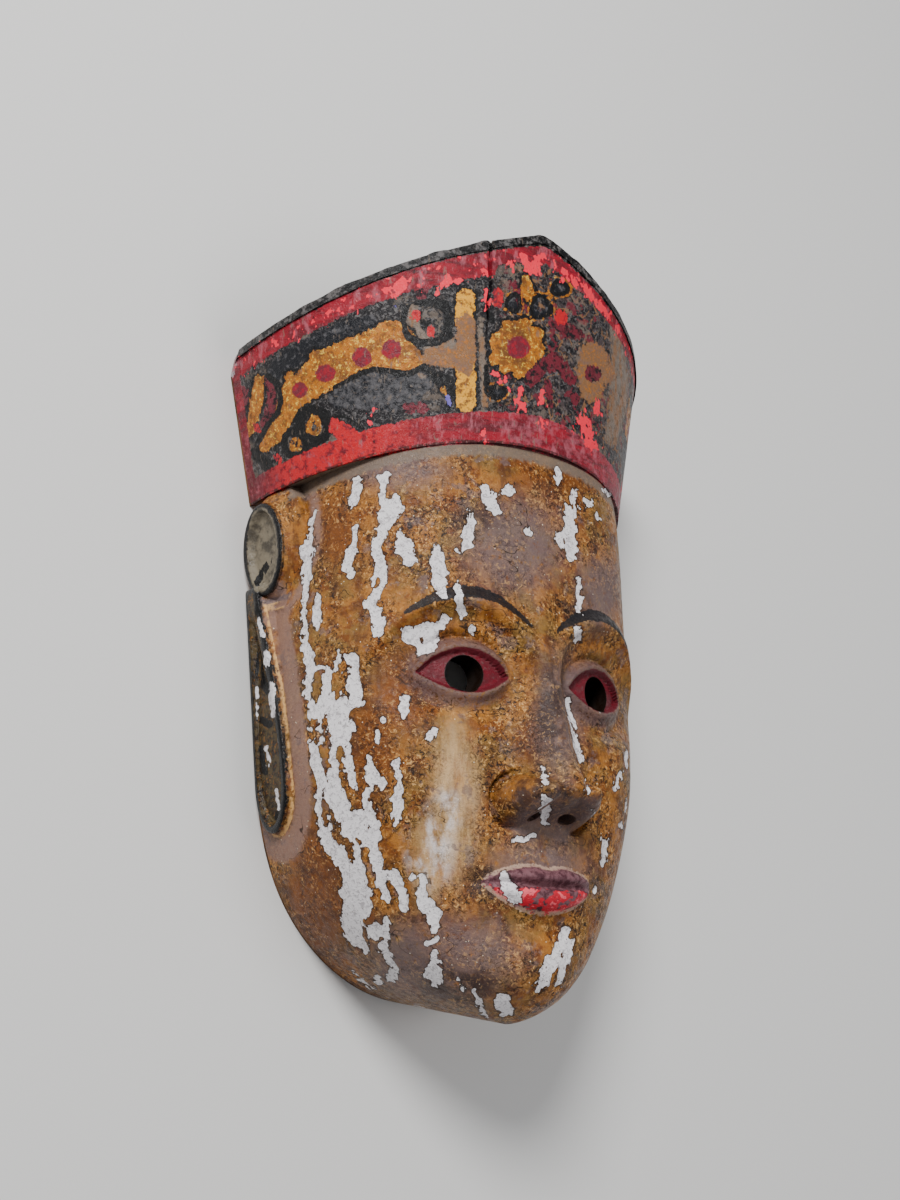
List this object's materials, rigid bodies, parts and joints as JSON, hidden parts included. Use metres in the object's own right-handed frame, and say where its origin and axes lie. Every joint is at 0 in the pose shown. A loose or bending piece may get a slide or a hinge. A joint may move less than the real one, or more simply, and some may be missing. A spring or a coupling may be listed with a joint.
{
  "type": "mask",
  "caption": "Carved wooden face mask under an arched cap, with long flat ears, pierced eyes and a hollow back; worn over the face in ritual dance.",
  "frame": {"origin": "centre of the flat back rim's bounding box, on the plane that the mask lies on", "axes": "+X across the face, +Y from the chin to the top of the cap, +Z from the back rim to the nose"},
  "size_m": [0.178, 0.292, 0.1011],
  "materials": {
    "painted_wood": "aged paint and lacquer over carved wood"
  },
  "bodies": {
    "root": {"carved_mask": "painted_wood"}
  },
  "joints": []
}
